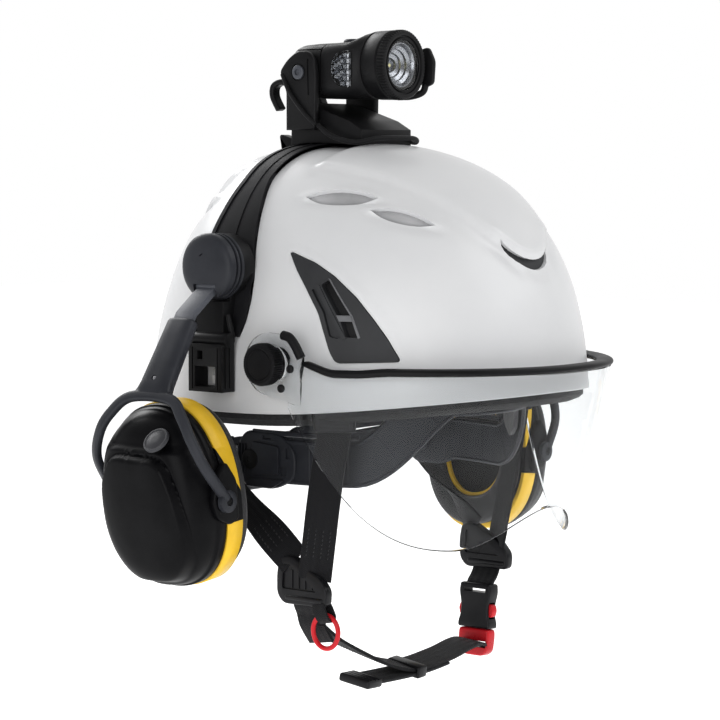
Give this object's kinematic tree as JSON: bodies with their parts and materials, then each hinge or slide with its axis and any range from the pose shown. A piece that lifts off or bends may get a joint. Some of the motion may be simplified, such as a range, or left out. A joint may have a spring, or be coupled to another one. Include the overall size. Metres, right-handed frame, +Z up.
{
  "type": "arborist helmet",
  "caption": "Climbing helmet with a clear eye visor, cap-mounted ear defenders, head lamp, size dial and chin strap, all hinged or sliding as on the real one.",
  "frame": {"origin": "centre of the head opening, level with the side rim of the shell", "axes": "+Z up, the front faces -Y, +X is the wearer's left"},
  "size_m": [0.377, 0.2922, 0.3927],
  "materials": {
    "shell_white": "gloss",
    "liner_black": "matte",
    "vent_grey": "satin",
    "insert_black": "satin",
    "band_rubber": "matte",
    "visor_clear": "clear gloss",
    "lamp_clear": "clear gloss",
    "seal_rubber": "satin",
    "knob_plastic": "moulded",
    "muff_graphite": "satin",
    "pin_steel": "brushed",
    "slider_grey": "satin",
    "cup_black": "fine moulded texture",
    "cup_yellow": "satin",
    "cushion_vinyl": "soft vinyl",
    "foam_yellow": "open foam",
    "plug_grey": "satin",
    "lamp_silver": "faceted reflector",
    "elastic_black": "woven elastic",
    "lamp_black": "satin",
    "band_graphite": "moulded",
    "webbing_black": "woven",
    "red_plastic": "gloss",
    "buckle_black": "satin"
  },
  "bodies": {
    "helmet": {"outer_shell": "shell_white", "impact_liner": "liner_black", "side_insert_left": "insert_black", "side_insert_right": "insert_black", "front_vent_insert": "insert_black", "ridge_vent_inserts": "vent_grey", "crown_band": "band_rubber", "visor_mount_left": "knob_plastic", "visor_mount_right": "knob_plastic", "muff_adapter_left": "muff_graphite", "muff_adapter_right": "muff_graphite", "lamp_base": "lamp_black", "lamp_pivots": "pin_steel", "lamp_elastic": "elastic_black", "headband": "band_graphite", "comfort_pads": "liner_black", "strap_anchors": "buckle_black", "front_straps": "webbing_black", "rear_straps": "webbing_black", "strap_dividers": "buckle_black", "buckle_socket": "buckle_black", "temple_pins": "pin_steel"},
    "visor": {"visor_lens": "visor_clear", "visor_brow_seal": "seal_rubber", "visor_rivets": "seal_rubber"},
    "knob_left": {"knob_left": "knob_plastic"},
    "muff_hub_left": {"muff_hub_left": "muff_graphite", "hub_pin_left": "pin_steel"},
    "muff_arm_left": {"arm_slider_left": "slider_grey"},
    "muff_fork_left": {"arm_fork_left": "muff_graphite"},
    "ear_cup_left": {"cup_shell_left": "cup_black", "cup_trim_left": "cup_yellow", "cup_cushion_left": "cushion_vinyl", "cup_foam_left": "foam_yellow", "cup_plug_left": "plug_grey"},
    "knob_right": {"knob_right": "knob_plastic"},
    "muff_hub_right": {"muff_hub_right": "muff_graphite", "hub_pin_right": "pin_steel"},
    "muff_arm_right": {"arm_slider_right": "slider_grey"},
    "muff_fork_right": {"arm_fork_right": "muff_graphite"},
    "ear_cup_right": {"cup_shell_right": "cup_black", "cup_trim_right": "cup_yellow", "cup_cushion_right": "cushion_vinyl", "cup_foam_right": "foam_yellow", "cup_plug_right": "plug_grey"},
    "lamp_head": {"lamp_body": "lamp_black", "lamp_windows": "lamp_silver"},
    "lamp_ring": {"lamp_bezel": "lamp_black", "lamp_lens": "lamp_clear"},
    "lamp_switch": {"lamp_button": "lamp_black"},
    "utility_ring": {"red_ring": "red_plastic"},
    "button_front": {"buckle_button_front": "red_plastic"},
    "button_rear": {"buckle_button_rear": "red_plastic"},
    "chin": {"chin_strap": "webbing_black", "buckle_tongue": "red_plastic"},
    "nape": {"nape_cradle": "band_graphite", "nape_pad": "liner_black"},
    "dial": {"size_dial": "band_graphite"},
    "rack_left": {"size_rack_left": "band_graphite"},
    "rack_right": {"size_rack_right": "band_graphite"}
  },
  "joints": [
    {"name": "visor_tilt", "type": "hinge", "parent": "helmet", "child": "visor", "pos_m": [0, -0.0285, 0.03], "axis": [-1, 0, 0], "range_deg": [0, 50]},
    {"name": "knob_turn_left", "type": "hinge", "parent": "helmet", "child": "knob_left", "pos_m": [0.12, -0.0285, 0.03], "axis": [1, 0, 0], "range_deg": [-180, 180]},
    {"name": "muff_swing_left", "type": "hinge", "parent": "helmet", "child": "muff_hub_left", "pos_m": [0.118, 0.012, 0.085], "axis": [1, 0, 0], "range_deg": [-6, 45]},
    {"name": "muff_flip_left", "type": "hinge", "parent": "muff_hub_left", "child": "muff_arm_left", "pos_m": [0.1215, 0.012, 0.074], "axis": [0, -1, 0], "range_deg": [-2, 20]},
    {"name": "muff_slide_left", "type": "slide", "parent": "muff_arm_left", "child": "muff_fork_left", "axis": [0.5299, 0, -0.848], "range_m": [0, 0.025]},
    {"name": "cup_tilt_left", "type": "hinge", "parent": "muff_fork_left", "child": "ear_cup_left", "pos_m": [0.158, 0.012, -0.045], "axis": [0, -1, 0], "range_deg": [-5, 10]},
    {"name": "knob_turn_right", "type": "hinge", "parent": "helmet", "child": "knob_right", "pos_m": [-0.12, -0.0285, 0.03], "axis": [-1, 0, 0], "range_deg": [-180, 180]},
    {"name": "muff_swing_right", "type": "hinge", "parent": "helmet", "child": "muff_hub_right", "pos_m": [-0.118, 0.012, 0.085], "axis": [1, 0, 0], "range_deg": [-6, 45]},
    {"name": "muff_flip_right", "type": "hinge", "parent": "muff_hub_right", "child": "muff_arm_right", "pos_m": [-0.1215, 0.012, 0.074], "axis": [0, 1, 0], "range_deg": [-2, 20]},
    {"name": "muff_slide_right", "type": "slide", "parent": "muff_arm_right", "child": "muff_fork_right", "axis": [-0.5299, 0, -0.848], "range_m": [0, 0.025]},
    {"name": "cup_tilt_right", "type": "hinge", "parent": "muff_fork_right", "child": "ear_cup_right", "pos_m": [-0.158, 0.012, -0.045], "axis": [0, 1, 0], "range_deg": [-5, 10]},
    {"name": "lamp_tilt", "type": "hinge", "parent": "helmet", "child": "lamp_head", "pos_m": [0, 0.022, 0.2], "axis": [1, 0, 0], "range_deg": [-10, 16]},
    {"name": "lamp_focus_turn", "type": "hinge", "parent": "lamp_head", "child": "lamp_ring", "pos_m": [0, -0.03, 0.204], "axis": [0, -1, 0], "range_deg": [0, 90]},
    {"name": "lamp_button_press", "type": "slide", "parent": "lamp_head", "child": "lamp_switch", "axis": [0, 0, -1], "range_m": [0, 0.0015], "stiffness_N_per_m": 800},
    {"name": "ring_swing", "type": "hinge", "parent": "helmet", "child": "utility_ring", "pos_m": [-0.09, -0.0483, -0.1175], "axis": [0, 1, 0], "range_deg": [0, 50]},
    {"name": "buckle_press_front", "type": "slide", "parent": "helmet", "child": "button_front", "axis": [0, 1, 0], "range_m": [0, 0.0012], "stiffness_N_per_m": 800},
    {"name": "buckle_press_rear", "type": "slide", "parent": "helmet", "child": "button_rear", "axis": [0, -1, 0], "range_m": [0, 0.0012], "stiffness_N_per_m": 800},
    {"name": "chin_strap_swing", "type": "hinge", "parent": "helmet", "child": "chin", "pos_m": [-0.0853, -0.035, -0.1255], "axis": [0, 1, 0], "range_deg": [0, 36]},
    {"name": "nape_tilt", "type": "hinge", "parent": "helmet", "child": "nape", "pos_m": [0, 0.014, -0.031], "axis": [1, 0, 0], "range_deg": [-7, 7]},
    {"name": "dial_turn", "type": "hinge", "parent": "nape", "child": "dial", "pos_m": [0, 0.115, -0.051], "axis": [0, 1, 0], "range_deg": [-90, 90]},
    {"name": "rack_left_slide", "type": "slide", "parent": "nape", "child": "rack_left", "axis": [1, 0, 0], "range_m": [-0.006, 0.006]},
    {"name": "rack_right_slide", "type": "slide", "parent": "nape", "child": "rack_right", "axis": [1, 0, 0], "range_m": [-0.006, 0.006]}
  ],
  "couplings": [
    {"joint": "rack_left_slide", "follows": "dial_turn", "m_per_rad": 0.0034},
    {"joint": "rack_right_slide", "follows": "dial_turn", "m_per_rad": -0.0034}
  ]
}
